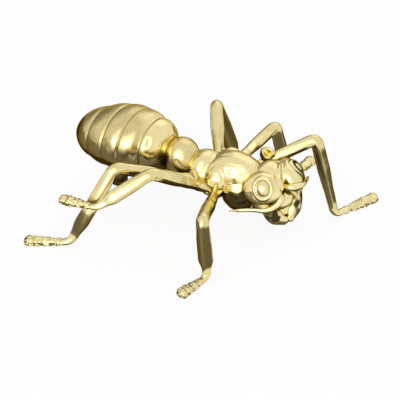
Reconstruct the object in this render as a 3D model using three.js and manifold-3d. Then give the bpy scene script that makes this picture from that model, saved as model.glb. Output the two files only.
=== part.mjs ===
// Ant figurine in cast brass: castings held together by spigots, pins and brazed seams.
// Millimetres. +X points to the head, +Y to the ant's left and +Z up, with the ground at Z = 0.
import * as THREE from 'three';
import Module from 'manifold-3d';
import { mergeVertices } from 'three/addons/utils/BufferGeometryUtils.js';

const wasm = await Module();
wasm.setup();

// Seams and spigots
const brazeGap = 0.3;
const spigotRadius = 0.6;
const spigotDepth = 1.6;
const spigotOverlap = 1.4;
const spigotClearance = 0.3;

// Thorax: swellings that run into one another, with the hips inside them
const thoraxLobes = {
  shield: { centre: [2.2, 0, 12.9], half: [5.7, 4.7, 4] },
  rear: { centre: [-5.2, 0, 12.4], half: [3.9, 4.2, 3.9] },
  sternum: { centre: [-3, 0, 10.6], half: [5.5, 4.4, 3.2] },
  chest: { centre: [3.2, -1.2, 9.5], half: [4, 4, 4.4] },
  rightFlank: { centre: [-0.8, -2.6, 12.4], half: [2.6, 2.4, 2.6] },
  leftFlank: { centre: [-0.8, 2.6, 12.4], half: [2.6, 2.4, 2.6] },
};

// Petiole: the bead at the waist, let into the thorax and the gaster, and the pin through all three
const petioleLength = 6.4;
const petioleWidth = 7.4;
const petioleTall = 9;
const petioleRise = 1.2;
const petioleIntoThorax = 1.7;
const petioleIntoGaster = 0.9;
const waistPinRise = 0.8;
const waistPinDroop = 12;
const waistPinRadius = 0.9;
const waistPinInGaster = 3.5;
const waistPinInThorax = 2.5;

// Gaster: the banded rear body, on an axis that drops towards the tail
const gasterRise = 2.6;
const gasterDroop = 5.8;
const gasterBandLengths = [3.9, 2.7, 3.9, 3.9, 4.2, 3.5];
const gasterWidth = 15.1;
const gasterTall = 14.3;
const gasterFrontWidth = 8.4;
const gasterFrontTall = 7.9;
const gasterWidestAt = 9.9;
const gasterTailPower = 1.69;
const gasterGrooveDepth = 0.3;
const gasterGrooveWidth = 0.35;
const gasterShoulderDepth = 0.1;
const gasterFrontRounding = 0.5;

// Head: swellings in the head's own frame, x to the face, y to its left and z up
const headAhead = 1.7;
const headAside = 1.1;
const headBelow = 0.9;
const headTurn = -33;
const headTilt = 4;
const browRadius = 4;
const browSpacing = 5.5;
const headLobes = {
  skull: { centre: [-1, 0, 0.3], half: [3.8, 4.6, 4.3] },
  rightBrow: { centre: [0.3, -browSpacing / 2, 0.1], half: [browRadius, browRadius, browRadius] },
  leftBrow: { centre: [0.3, browSpacing / 2, 0.1], half: [browRadius, browRadius, browRadius] },
  crest: { centre: [-0.8, 0, 0.3], half: [4.3, 0.6, 4.7] },
  muzzle: { centre: [1.6, 0, -3.8], half: [2, 3.3, 3.7] },
  clypeus: { centre: [3, 0, -2.7], half: [1.4, 1.8, 1.3] },
};
const neckPinRadius = 0.9;
const neckPinInThorax = 3.2;
const neckPinInHead = 2.6;

// Eyes: a dome inside a ring, let into each brow
const eyeAim = [0.66, 0.47, 0.59];
const eyeRingRadius = 2.3;
const eyeDomeRadius = 1.4;
const eyeDomeRise = 0.75;
const eyeRingRise = 0.35;
const eyeSeatDepth = 1.1;

// Antennae: tapered rods that leave the face and sweep round the cheeks, in the head's frame
const antennaPaths = {
  right: [
    [2.6, -0.6, -0.1], [4.4, -1.2, -1], [4.4, -2.6, -2.6],
    [3.6, -4.6, -3.3], [1.5, -6.8, -3.1], [-1.5, -10.3, -3.6],
  ],
  left: [
    [2.6, 0.6, 0], [4.6, 1.2, 0.4], [4.9, 2.4, 0.3],
    [4.4, 4.2, -0.4], [2.2, 7.1, -1.9], [-1.2, 10.2, -4],
  ],
};
const antennaRadius = 0.95;
const antennaTipRadius = 0.35;

// Mandibles: broad curved jaws that close under the face, in the head's frame
const mandiblePath = [[0.4, 2, -2.2], [2.6, 3.1, -4], [3.8, 2.4, -5.8], [4.5, 0.5, -7.6]];
const mandibleHalfWidths = [1, 1.7, 1.9, 1.1];
const mandibleHalfDepths = [1, 1.5, 1.4, 0.8];

// Legs: reach is a segment's length seen from above, heading its angle from +X towards +Y
const legs = {
  right_front_leg: {
    hip: [-1.6, -1.9, 9.5],
    femurReach: 17.4, femurHeading: -78, kneeHeight: 13.6,
    tibiaReach: 2.6, tibiaHeading: -43,
    footReach: 8.1, footHeading: -112, footLift: 0,
  },
  right_middle_leg: {
    hip: [-2.4, -2.8, 9.3],
    femurReach: 14.3, femurHeading: -130, kneeHeight: 18.1,
    tibiaReach: 11.5, tibiaHeading: -144,
    footReach: 8.6, footHeading: 179, footLift: 10.3,
  },
  right_rear_leg: {
    hip: [-5.2, -1.6, 10],
    femurReach: 19.1, femurHeading: -139, kneeHeight: 17.5,
    tibiaReach: 10.3, tibiaHeading: -136,
    footReach: 9.8, footHeading: -162, footLift: 0,
  },
  left_front_leg: {
    hip: [0.5, 2.6, 10],
    femurReach: 17.3, femurHeading: 33, kneeHeight: 17.5,
    tibiaReach: 6.4, tibiaHeading: -24,
    footReach: 11.8, footHeading: 59, footLift: 0,
  },
  left_middle_leg: {
    hip: [-1.7, 2.4, 10.3],
    femurReach: 13.3, femurHeading: 59, kneeHeight: 17,
    tibiaReach: 4.2, tibiaHeading: 63,
    footReach: 10, footHeading: 77, footLift: 0,
  },
  left_rear_leg: {
    hip: [-2.8, 2.1, 10.7],
    femurReach: 14, femurHeading: 116, kneeHeight: 18.5,
    tibiaReach: 6.2, tibiaHeading: 64,
    footReach: 7.3, footHeading: 130, footLift: 0,
  },
};
const femurRootWidth = 2.1;
const femurWidth = 3;
const kneeWidth = 2.7;
const tibiaWidth = 3.2;
const shinWidth = 3.1;
const ankleWidth = 1.9;
const femurNarrowTo = 0.3;
const femurFullAt = 0.65;
const tibiaFullAt = 0.35;
const shinAt = 0.75;
const kneeRounding = 1.3;
const ankleRounding = 1.6;
const ankleHeight = 0.95;
const soleHeight = 0.7;
const footBeads = 4;
const beadWidth = 2.3;
const beadTall = 2.1;
const beadNeckWidth = 1.7;
const beadNeckTall = 1.7;
const toeWidth = 2.6;
const beadShoulders = [0.35, 0.7];
const toeRounding = [{ share: 0.98, keeps: 0.8 }, { share: 1, keeps: 0.5 }];

// The knob on top of the left front leg, where it turns forward
const knobRadius = 1.5;
const knobRise = 1.7;
const knobPlace = 0.4;

// Facets
const lobeSides = 16;
const lobeRings = 11;
const gasterSides = 24;
const beadRings = 10;
const legSides = 10;
const rodSides = 12;
const antennaSteps = 12;
const mandibleSteps = 8;
const tailShares = [0.5, 0.75, 0.92, 0.985];
const eyeDomeShares = [0.8, 0.4];
const petiolePoleFlat = 0.06;
const steepRod = 0.9;
const ridgePower = 1.5;
const roundPower = 2;

const brass = new THREE.MeshStandardMaterial({ color: 0xd8bd6a, roughness: 0.28, metalness: 1 });
const darkBrass = new THREE.MeshStandardMaterial({ color: 0x8a6f34, roughness: 0.4, metalness: 1 });

const up = new THREE.Vector3(0, 0, 1);
const vector = (list) => new THREE.Vector3(...list);
const radians = THREE.MathUtils.degToRad;

// A closed geometry as a solid that can be cut and joined
function solidOf(geometry) {
  const bare = geometry.clone();
  bare.deleteAttribute('normal');
  bare.deleteAttribute('uv');
  const merged = mergeVertices(bare);
  return new wasm.Manifold(new wasm.Mesh({
    numProp: 3,
    vertProperties: new Float32Array(merged.attributes.position.array),
    triVerts: new Uint32Array(merged.index.array),
  }));
}

function geometryOf(solid) {
  const mesh = solid.getMesh();
  const geometry = new THREE.BufferGeometry();
  geometry.setAttribute('position', new THREE.BufferAttribute(new Float32Array(mesh.vertProperties), 3));
  geometry.setIndex(new THREE.BufferAttribute(new Uint32Array(mesh.triVerts), 1));
  geometry.computeVertexNormals();
  return geometry;
}

// A ring of points round a centre: power 2 is an ellipse, and a lower power brings up ridges
function ring(centre, across, beside, halfAcross, halfBeside, sides, power) {
  const bulge = (part) => Math.sign(part) * Math.abs(part) ** (2 / power);
  return Array.from({ length: sides }, (_, k) => {
    const turn = (2 * Math.PI * k) / sides;
    return centre.clone()
      .addScaledVector(across, halfAcross * bulge(Math.cos(turn)))
      .addScaledVector(beside, halfBeside * bulge(Math.sin(turn)));
  });
}

// A closed skin through a row of rings, with a flat cap at each end
function skin(rings) {
  const sides = rings[0].length;
  const middle = (points) => points.reduce((sum, p) => sum.add(p), vector([0, 0, 0])).divideScalar(sides);
  const points = [...rings.flat(), middle(rings[0]), middle(rings.at(-1))];
  const lastRing = (rings.length - 1) * sides;
  const startCap = lastRing + sides;
  const endCap = startCap + 1;
  const triangles = [];
  for (let k = 0; k < sides; k += 1) {
    const next = (k + 1) % sides;
    for (let base = 0; base < lastRing; base += sides) {
      triangles.push(base + k, base + next, base + sides + next);
      triangles.push(base + k, base + sides + next, base + sides + k);
    }
    triangles.push(startCap, next, k);
    triangles.push(endCap, lastRing + k, lastRing + next);
  }
  return new THREE.BufferGeometry().setFromPoints(points).setIndex(triangles);
}

// A ring square to a path, with its ridge turned to the crown side
function stationRing(station, sides) {
  const { at, along, crown, halfDepth, halfWidth, power } = station;
  const across = crown.clone().projectOnPlane(along).normalize();
  const beside = along.clone().cross(across);
  return ring(at, across, beside, halfDepth, halfWidth, sides, power);
}

// A straight round rod between two points
function rod(from, to, radius) {
  const along = to.clone().sub(from).normalize();
  const crown = Math.abs(along.z) < steepRod ? up : vector([1, 0, 0]);
  const shape = { along, crown, halfDepth: radius, halfWidth: radius, power: roundPower };
  return skin([from, to].map((at) => stationRing({ ...shape, at }, rodSides)));
}

// Swellings joined in one solid, each swollen further by grow
function lobedSolid(lobes, grow, frame) {
  const solids = Object.values(lobes).map(({ centre, half }) => {
    const ball = new THREE.SphereGeometry(1, lobeSides, lobeRings);
    ball.scale(half[0] + grow, half[1] + grow, half[2] + grow);
    ball.translate(...centre);
    return solidOf(ball.applyMatrix4(frame));
  });
  return solids.reduce((joined, solid) => joined.add(solid));
}

// The distance from a point inside the swellings to where a straight line leaves them
function distanceOut(lobes, from, along) {
  const exits = Object.values(lobes).map(({ centre, half }) => {
    const scale = vector(half);
    const start = from.clone().sub(vector(centre)).divide(scale);
    const step = along.clone().divide(scale);
    const a = step.dot(step);
    const b = start.dot(step);
    const c = start.dot(start) - 1;
    const root = b * b - a * c;
    return root > 0 && c < 0 ? (-b + Math.sqrt(root)) / a : 0;
  });
  return Math.max(...exits);
}

// A spigot on a casting that enters a body at surface, with the socket that takes it
function spigot(surface, along) {
  const outer = surface.clone().addScaledVector(along, spigotOverlap);
  const inner = surface.clone().addScaledVector(along, -spigotDepth);
  const floor = inner.clone().addScaledVector(along, -spigotClearance);
  return {
    peg: solidOf(rod(inner, outer, spigotRadius)),
    socket: solidOf(rod(floor, outer, spigotRadius + spigotClearance)),
  };
}

const bodyFrame = new THREE.Matrix4();
const shieldCentre = vector(thoraxLobes.shield.centre);
const headCentre = vector([
  shieldCentre.x + thoraxLobes.shield.half[0] + headAhead,
  shieldCentre.y + headAside,
  shieldCentre.z - headBelow,
]);
const headFrame = new THREE.Matrix4()
  .makeRotationZ(radians(headTurn))
  .multiply(new THREE.Matrix4().makeRotationX(radians(headTilt)))
  .setPosition(headCentre);
const inHead = (list) => vector(list).applyMatrix4(headFrame);
const towardsFace = vector([1, 0, 0]).transformDirection(headFrame);

// A unit direction along the body, dropping by an angle
function alongBody(sense, droop) {
  return vector([sense * Math.cos(radians(droop)), 0, -Math.sin(radians(droop))]);
}

// A round or oval ring on an upright axis
function roundRing(at, along, halfTall, halfWide, sides) {
  const station = { at, along, crown: up, halfDepth: halfTall, halfWidth: halfWide, power: roundPower };
  return stationRing(station, sides);
}

// Waist: the bead sits on the rear of the thorax and the gaster sits on the bead
const thoraxRear = thoraxLobes.rear;
const petioleCentre = vector([
  thoraxRear.centre[0] - thoraxRear.half[0] + petioleIntoThorax - petioleLength / 2,
  thoraxRear.centre[1],
  thoraxRear.centre[2] + petioleRise,
]);
const waistAxis = alongBody(1, waistPinDroop);
const gasterAxis = alongBody(-1, gasterDroop);
const gasterFront = petioleCentre.clone()
  .add(vector([petioleIntoGaster - petioleLength / 2, 0, gasterRise]));
const gasterLength = gasterBandLengths.reduce((sum, length) => sum + length, 0);

// Half a size of the gaster at a distance behind its front: an arch to the widest place, then a round tail
function gasterHalf(distance, frontSize, fullSize) {
  if (distance < gasterWidestAt) {
    const share = (gasterWidestAt - distance) / gasterWidestAt;
    return (fullSize - (fullSize - frontSize) * share ** 2) / 2;
  }
  const share = (distance - gasterWidestAt) / (gasterLength - gasterWidestAt);
  return (fullSize / 2) * Math.sqrt(1 - share ** gasterTailPower);
}

// Distances of the gaster's rings behind its front, each with its depth below the full surface
function gasterStops() {
  const stops = [];
  let start = 0;
  gasterBandLengths.forEach((length, band) => {
    const tail = band === gasterBandLengths.length - 1;
    stops.push({ distance: start, sunk: band === 0 ? gasterFrontRounding : gasterGrooveDepth });
    stops.push({ distance: start + gasterGrooveWidth, sunk: gasterShoulderDepth });
    const shares = tail ? tailShares : [0.5, 1 - gasterGrooveWidth / length];
    shares.forEach((share) => stops.push({ distance: start + share * length, sunk: 0 }));
    start += length;
  });
  return stops;
}

function gasterSolid(grow) {
  const rings = gasterStops().map(({ distance, sunk }) => {
    const at = gasterFront.clone().addScaledVector(gasterAxis, distance === 0 ? -grow : distance);
    const halfTall = gasterHalf(distance, gasterFrontTall, gasterTall) - sunk + grow;
    const halfWide = gasterHalf(distance, gasterFrontWidth, gasterWidth) - sunk + grow;
    return roundRing(at, gasterAxis, halfTall, halfWide, gasterSides);
  });
  return solidOf(skin(rings));
}

// The bead, open at its poles by a small flat
function petioleSolid() {
  const along = alongBody(1, 0);
  const rings = Array.from({ length: beadRings + 1 }, (_, k) => {
    const turn = Math.PI * THREE.MathUtils.lerp(petiolePoleFlat, 1 - petiolePoleFlat, k / beadRings);
    const at = petioleCentre.clone().addScaledVector(along, (-petioleLength / 2) * Math.cos(turn));
    const round = Math.sin(turn) / 2;
    return roundRing(at, along, petioleTall * round, petioleWidth * round, lobeSides);
  });
  return solidOf(skin(rings));
}

// A pin and the bore that takes it, longer and wider by the spigot clearance
function pinAndBore(middle, along, rearReach, frontReach, radius) {
  const end = (reach) => middle.clone().addScaledVector(along, reach);
  return {
    pin: solidOf(rod(end(-rearReach), end(frontReach), radius)),
    bore: solidOf(rod(
      end(-rearReach - spigotClearance),
      end(frontReach + spigotClearance),
      radius + spigotClearance,
    )),
  };
}

const waist = pinAndBore(
  petioleCentre.clone().addScaledVector(up, waistPinRise),
  waistAxis,
  petioleLength / 2 + waistPinInGaster,
  petioleLength / 2 + waistPinInThorax,
  waistPinRadius,
);
const neckAim = headCentre.clone().sub(shieldCentre).normalize();
const neckSeat = shieldCentre.clone()
  .addScaledVector(neckAim, distanceOut(thoraxLobes, shieldCentre, neckAim));
const neck = pinAndBore(neckSeat, neckAim, neckPinInThorax, neckPinInHead, neckPinRadius);

// Grown copies of the bodies that trim their neighbours
const thoraxTrim = lobedSolid(thoraxLobes, brazeGap, bodyFrame);
const headTrim = lobedSolid(headLobes, brazeGap, headFrame);
const gasterTrim = gasterSolid(brazeGap);

// An eye on an axis out through its brow, with the recess that takes it
function eyeParts(brow, side) {
  const aim = vector([eyeAim[0], side * eyeAim[1], eyeAim[2]]).normalize();
  const along = aim.clone().transformDirection(headFrame);
  const seat = inHead(brow.centre).addScaledVector(along, browRadius);
  const sag = (radius) => Math.sqrt(browRadius ** 2 - radius ** 2) - browRadius;
  const step = (eyeRingRadius - eyeDomeRadius) / 4;
  const profile = [
    [eyeRingRadius, -eyeSeatDepth],
    [eyeRingRadius, sag(eyeRingRadius)],
    [eyeRingRadius - step, sag(eyeRingRadius - step) + eyeRingRise],
    [eyeDomeRadius + step, sag(eyeDomeRadius + step) + eyeRingRise],
    [eyeDomeRadius, sag(eyeDomeRadius)],
    ...eyeDomeShares.map((share) => [eyeDomeRadius * share, eyeDomeRise * Math.sqrt(1 - share ** 2)]),
  ];
  const place = (rise) => seat.clone().addScaledVector(along, rise);
  const rings = profile.map(([radius, rise]) => roundRing(place(rise), along, radius, radius, lobeSides));
  const recessFloor = place(-eyeSeatDepth - brazeGap);
  const recessMouth = place(eyeDomeRise + brazeGap);
  return {
    eye: solidOf(skin(rings)),
    recess: solidOf(rod(recessFloor, recessMouth, eyeRingRadius + brazeGap)),
  };
}

// A size along a path, taken between listed values
function between(values, share) {
  const place = share * (values.length - 1);
  const k = Math.min(Math.floor(place), values.length - 2);
  return THREE.MathUtils.lerp(values[k], values[k + 1], place - k);
}

// A curved casting that starts inside the head, with its spigot where it comes out
function headCasting(path, halfDepths, halfWidths, steps) {
  const curve = new THREE.CatmullRomCurve3(path.map(inHead));
  const solid = (grow) => solidOf(skin(Array.from({ length: steps + 1 }, (_, k) => stationRing({
    at: curve.getPoint(k / steps),
    along: curve.getTangent(k / steps),
    crown: towardsFace,
    halfDepth: between(halfDepths, k / steps) + grow,
    halfWidth: between(halfWidths, k / steps) + grow,
    power: roundPower,
  }, legSides))));
  const root = vector(path[0]);
  const aim = vector(path[1]).sub(root).normalize();
  const out = root.clone().addScaledVector(aim, distanceOut(headLobes, root, aim));
  return { solid, ...spigot(inHead(out.toArray()), aim.transformDirection(headFrame)) };
}

function mandible(side) {
  const path = mandiblePath.map(([x, y, z]) => [x, side * y, z]);
  return headCasting(path, mandibleHalfDepths, mandibleHalfWidths, mandibleSteps);
}

function antenna(side) {
  const radii = [antennaRadius, antennaRadius, antennaTipRadius];
  return headCasting(antennaPaths[side], radii, radii, antennaSteps);
}

// Hip, knee, ankle and toe of a leg
function legPoints(leg) {
  const step = (from, reach, heading, height) => vector([
    from.x + reach * Math.cos(radians(heading)),
    from.y + reach * Math.sin(radians(heading)),
    height,
  ]);
  const hip = vector(leg.hip);
  const knee = step(hip, leg.femurReach, leg.femurHeading, leg.kneeHeight);
  const ankle = step(knee, leg.tibiaReach, leg.tibiaHeading, leg.footLift + ankleHeight);
  const toe = step(ankle, leg.footReach, leg.footHeading, leg.footLift + soleHeight);
  return { hip, knee, ankle, toe };
}

// Stations along a straight piece of a leg, cut short at the bends
function straight(from, to, trimStart, trimEnd, crown, power, sizes) {
  const along = to.clone().sub(from).normalize();
  const start = from.clone().addScaledVector(along, trimStart);
  const end = to.clone().addScaledVector(along, -trimEnd);
  return sizes.map(({ share, width, tall = width }) => ({
    at: start.clone().lerp(end, share),
    along,
    crown,
    halfDepth: tall / 2,
    halfWidth: width / 2,
    power,
  }));
}

// The station in the middle of a bend, between the stations on either side of it
function bend(before, after, corner) {
  return {
    at: before.at.clone().lerp(after.at, 0.5).lerp(corner, 0.5),
    along: before.along.clone().add(after.along).normalize(),
    crown: before.crown.clone().add(after.crown).normalize(),
    halfDepth: (before.halfDepth + after.halfDepth) / 2,
    halfWidth: (before.halfWidth + after.halfWidth) / 2,
    power: before.power,
  };
}

// Widths and heights along a foot: a row of beads with a wide last one that rounds off
function footSizes() {
  const sizes = [];
  for (let bead = 0; bead < footBeads; bead += 1) {
    const width = bead === footBeads - 1 ? toeWidth : beadWidth;
    sizes.push({ share: bead / footBeads, width: beadNeckWidth, tall: beadNeckTall });
    for (const shoulder of beadShoulders) {
      sizes.push({ share: (bead + shoulder) / footBeads, width, tall: beadTall });
    }
  }
  for (const { share, keeps } of toeRounding) {
    sizes.push({ share, width: toeWidth * keeps, tall: beadTall * keeps });
  }
  return sizes;
}

function legSolid(leg) {
  const { hip, knee, ankle, toe } = legPoints(leg);
  const outward = toe.clone().sub(hip).setZ(0).normalize();
  const femur = straight(hip, knee, 0, kneeRounding, up, ridgePower, [
    { share: 0, width: femurRootWidth },
    { share: femurNarrowTo, width: femurRootWidth },
    { share: femurFullAt, width: femurWidth },
    { share: 1, width: kneeWidth },
  ]);
  const tibia = straight(knee, ankle, kneeRounding, ankleRounding, outward, ridgePower, [
    { share: 0, width: kneeWidth },
    { share: tibiaFullAt, width: tibiaWidth },
    { share: shinAt, width: shinWidth },
    { share: 1, width: ankleWidth },
  ]);
  const foot = straight(ankle, toe, ankleRounding, 0, up, roundPower, footSizes());
  const stations = [
    ...femur,
    bend(femur.at(-1), tibia[0], knee),
    ...tibia,
    bend(tibia.at(-1), foot[0], ankle),
    ...foot,
  ];
  const rings = stations.map((station) => stationRing(station, legSides));
  for (const point of rings.flat()) {
    point.z = Math.max(point.z, leg.footLift);
  }
  return solidOf(skin(rings));
}

function legSpigot(leg) {
  const { hip, knee } = legPoints(leg);
  const along = knee.clone().sub(hip).normalize();
  return spigot(hip.clone().addScaledVector(along, distanceOut(thoraxLobes, hip, along)), along);
}

function legKnob(leg) {
  const { hip, knee } = legPoints(leg);
  const centre = hip.lerp(knee, knobPlace).addScaledVector(up, knobRise);
  const knob = { centre: centre.toArray(), half: [knobRadius, knobRadius, knobRadius] };
  return lobedSolid({ knob }, 0, bodyFrame);
}

// Assembly
const figurine = new THREE.Group();
const sides = [['right', -1], ['left', 1]];

function addCasting(name, solid, material = brass) {
  const mesh = new THREE.Mesh(geometryOf(solid), material);
  mesh.name = name;
  figurine.add(mesh);
}

let thorax = lobedSolid(thoraxLobes, 0, bodyFrame).subtract(waist.bore).subtract(neck.bore);
for (const [name, leg] of Object.entries(legs)) {
  const { peg, socket } = legSpigot(leg);
  const shaft = name === 'left_front_leg' ? legSolid(leg).add(legKnob(leg)) : legSolid(leg);
  addCasting(name, shaft.subtract(thoraxTrim).add(peg));
  thorax = thorax.subtract(socket);
}
addCasting('thorax', thorax);

let head = lobedSolid(headLobes, 0, headFrame).subtract(thoraxTrim).subtract(neck.bore);
let faceTrim = headTrim.add(thoraxTrim);
for (const [side, sign] of sides) {
  const { eye, recess } = eyeParts(headLobes[`${side}Brow`], sign);
  addCasting(`${side}_eye`, eye);
  head = head.subtract(recess);
  faceTrim = faceTrim.add(recess);
}

// Each antenna and jaw is cut clear of the castings already on the face
const faceCastings = {
  right_antenna: antenna('right'),
  left_antenna: antenna('left'),
  right_mandible: mandible(-1),
  left_mandible: mandible(1),
};
for (const [name, { solid, peg, socket }] of Object.entries(faceCastings)) {
  addCasting(name, solid(0).subtract(faceTrim).add(peg));
  head = head.subtract(socket);
  faceTrim = faceTrim.add(solid(brazeGap));
}
addCasting('head', head);

addCasting('gaster', gasterSolid(0).subtract(waist.bore));
addCasting('petiole', petioleSolid().subtract(gasterTrim).subtract(thoraxTrim).subtract(waist.bore));
addCasting('waist_pin', waist.pin, darkBrass);
addCasting('neck_pin', neck.pin, darkBrass);

// The origin lies on the ground under the middle of the whole figurine
figurine.updateMatrixWorld(true);
const box = new THREE.Box3().setFromObject(figurine);
const middle = box.getCenter(vector([0, 0, 0]));
figurine.position.set(-middle.x, -middle.y, -box.min.z);

export default figurine;
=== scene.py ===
# %% [markdown]
# # A cast brass ant
#
# This lesson dresses a plain assembly of solids as a bright brass desk ornament. Every piece that shows
# is modelled again with a fine surface, in the place where its solid stands, and gets a polished brass.
# The frame holds the solids in metres, with the ground at Z = 0 and the head towards +X.

import math
from collections import namedtuple

import bpy
from mathutils import Matrix, Vector, noise


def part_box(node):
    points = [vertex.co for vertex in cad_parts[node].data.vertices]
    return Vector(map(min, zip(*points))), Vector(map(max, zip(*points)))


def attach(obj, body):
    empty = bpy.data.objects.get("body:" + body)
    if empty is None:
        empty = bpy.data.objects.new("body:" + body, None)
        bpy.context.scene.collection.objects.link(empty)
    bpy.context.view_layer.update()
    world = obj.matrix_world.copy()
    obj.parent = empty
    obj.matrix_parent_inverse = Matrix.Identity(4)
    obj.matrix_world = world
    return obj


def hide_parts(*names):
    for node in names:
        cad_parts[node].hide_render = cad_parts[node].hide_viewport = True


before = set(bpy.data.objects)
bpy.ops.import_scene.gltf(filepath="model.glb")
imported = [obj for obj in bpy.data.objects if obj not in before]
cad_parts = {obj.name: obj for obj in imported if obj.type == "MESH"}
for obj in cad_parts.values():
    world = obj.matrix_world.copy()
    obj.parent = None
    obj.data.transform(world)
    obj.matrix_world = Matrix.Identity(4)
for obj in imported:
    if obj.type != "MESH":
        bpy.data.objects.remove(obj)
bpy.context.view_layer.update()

# %% [markdown]
# ## The ant's own frame
#
# The founder's sizes are in millimetres from a point under the thorax, so the script works in
# millimetres and shrinks each finished mesh to metres. One solid tells where that point lies: the pin
# through the waist is a straight rod, so the middle of its box is the middle of the rod. Measuring it
# is safer than typing the offset.

# %% Place the ant's own frame
MM = 0.001
FORWARD = Vector((1, 0, 0))
LEFT = Vector((0, 1, 0))
UP = Vector((0, 0, 1))

thorax_rear_centre = Vector((-5.2, 0, 12.4))
thorax_rear_half = Vector((3.9, 4.2, 3.9))
petiole_length = 6.4
petiole_rise = 1.2
petiole_into_thorax = 1.7
petiole_into_gaster = 0.9
petiole_centre = thorax_rear_centre + Vector((
    petiole_into_thorax - thorax_rear_half.x - petiole_length / 2, 0, petiole_rise))

waist_pin_rise = 0.8
waist_pin_droop = math.radians(12)
waist_pin_in_gaster = 3.5
waist_pin_in_thorax = 2.5
waist_pin_axis = Vector((math.cos(waist_pin_droop), 0, -math.sin(waist_pin_droop)))
waist_pin_middle = (petiole_centre + UP * waist_pin_rise
                    + waist_pin_axis * (waist_pin_in_thorax - waist_pin_in_gaster) / 2)

pin_low, pin_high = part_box("waist_pin")
ant_origin = (pin_low + pin_high) / (2 * MM) - waist_pin_middle
print("The ant's own origin is at", [round(value, 3) for value in ant_origin], "mm in the frame")

# %% [markdown]
# ## Rings
#
# Most pieces of an ant are long and round: a body, a leg, a feeler. Such a piece is a row of rings with
# a skin over them. A ring with power 2 is an ellipse, and a lower power brings up four soft ridges, as
# on the legs. Curves with a bevel would be quicker, but rings give each place its own width, ridge and
# tarnish.

# %% Rings
def ring(centre, across, beside, half_across, half_beside, sides, power=2.0):
    """Points round a centre, across first."""
    points = []
    for k in range(sides):
        turn = 2 * math.pi * k / sides
        reach = math.copysign(abs(math.cos(turn)) ** (2 / power), math.cos(turn))
        swing = math.copysign(abs(math.sin(turn)) ** (2 / power), math.sin(turn))
        points.append(centre + across * (half_across * reach) + beside * (half_beside * swing))
    return points


corner_count = 4
for point in ring(Vector(), FORWARD, UP, 1, 1, corner_count):
    print("A ring of", corner_count, "has a point at", [round(part, 2) for part in point])

# %% [markdown]
# ## A skin over the rings
#
# Four-sided faces join each ring to the next, and a fan of triangles closes both ends. A closed skin
# has an inside and an outside, which the brass needs: it reads how deep a place lies among its
# neighbours.

# %% Skin
def skin(rings):
    """Corners and faces of a closed skin through rings of equal count."""
    sides = len(rings[0])
    corners = [point for points in rings for point in points]
    faces = []
    for start in range(0, len(corners) - sides, sides):
        for k in range(sides):
            beside = (k + 1) % sides
            faces.append((start + k, start + beside, start + sides + beside, start + sides + k))
    for points, first in ((rings[0], 0), (rings[-1], len(corners) - sides)):
        corners.append(sum(points, Vector()) / sides)
        middle = len(corners) - 1
        for k in range(sides):
            pair = (first + k, first + (k + 1) % sides)
            faces.append((middle, *(pair[::-1] if first == 0 else pair)))
    return corners, faces


box_rings = [ring(UP * height, FORWARD, LEFT, 1, 1, corner_count) for height in (0, 1)]
print("A skin over two such rings has", len(skin(box_rings)[1]), "faces")

# %% [markdown]
# ## The hand of the finisher
#
# A sand casting is never perfect: filing and polishing leave slow waves that make each highlight
# wander. Waves in a bump map would vanish at the outline, so the script moves the corners themselves,
# by a few hundredths of a millimetre, with a noise that is the same on every run.

# %% Waves of the polished casting
SLOW_WAVE = 4.2
SLOW_DEPTH = 0.10
QUICK_WAVE = 1.3
QUICK_DEPTH = 0.034
QUICK_SHIFT = Vector((7.3, 1.9, 4.1))


def wave(place):
    """How far the finished surface stands out at a place, in millimetres."""
    slow = noise.noise(place / SLOW_WAVE)
    quick = noise.noise(place / QUICK_WAVE + QUICK_SHIFT)
    return SLOW_DEPTH * slow + QUICK_DEPTH * quick


print("At the waist the surface stands out by", round(wave(petiole_centre), 3), "mm")

# %% [markdown]
# ## One finished piece
#
# A mesh can carry numbers on its corners as well as its shape. Every piece carries two. Its dark share
# says how far the brass's painted shade reaches: below 0 it is painted bright, and above 1 the painted
# shade is nearly black. Its share of satin makes it rougher and paints it a duller tan. The brass reads
# both later. They could be painted by hand, but a formula can be changed and run again.

# %% One finished piece
# A satin share makes a place rougher and paints it a duller tan, as shade.
COMMON_SATIN_AND_SHADE = 0.2
pieces = {}


def add_piece(name, corners, faces, dark=0.0, waves=1.0, relief=None, satin=COMMON_SATIN_AND_SHADE):
    """A finished mesh in the frame, with one share each of painted shade and satin, or one per corner."""
    mesh = bpy.data.meshes.new("fine_" + name)
    mesh.from_pydata(corners, [], faces)
    mesh.validate()
    mesh.update()
    rise = [waves * wave(v.co) + (relief(v.co) if relief else 0) for v in mesh.vertices]
    moved = [v.co + v.normal * height for v, height in zip(mesh.vertices, rise)]
    for vertex, place in zip(mesh.vertices, moved):
        vertex.co = (place + ant_origin) * MM
        vertex.co.z = max(vertex.co.z, 0)
    for share_name, shares in (("dark", dark), ("satin", satin)):
        values = shares if isinstance(shares, list) else [shares] * len(rise)
        mesh.attributes.new(share_name, "FLOAT", "POINT").data.foreach_set("value", values)
    for face in mesh.polygons:
        face.use_smooth = True
    mesh.update()
    piece = bpy.data.objects.new("fine_" + name, mesh)
    bpy.context.scene.collection.objects.link(piece)
    pieces[name] = piece
    print(name, "has", len(mesh.vertices), "corners")
    return piece


print("A piece has a satin of", COMMON_SATIN_AND_SHADE, "where its maker gives none")

# %% [markdown]
# ## Outline of the gaster
#
# The rear body is an egg with a blunt front. It could be a scaled ball, but the real one is widest
# before its middle. So its outline is one formula: an arch up to the widest place and a round tail
# behind it.

# %% Outline of the gaster
gaster_bands = [4.1, 4.0, 4.0, 4.4, 5.6]
gaster_length = sum(gaster_bands)
gaster_width = 15.1
gaster_tall = 13.9
gaster_front_width = 8.4
gaster_front_tall = 7.9
gaster_widest_at = 9.9
gaster_tail_power = 1.69


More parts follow.
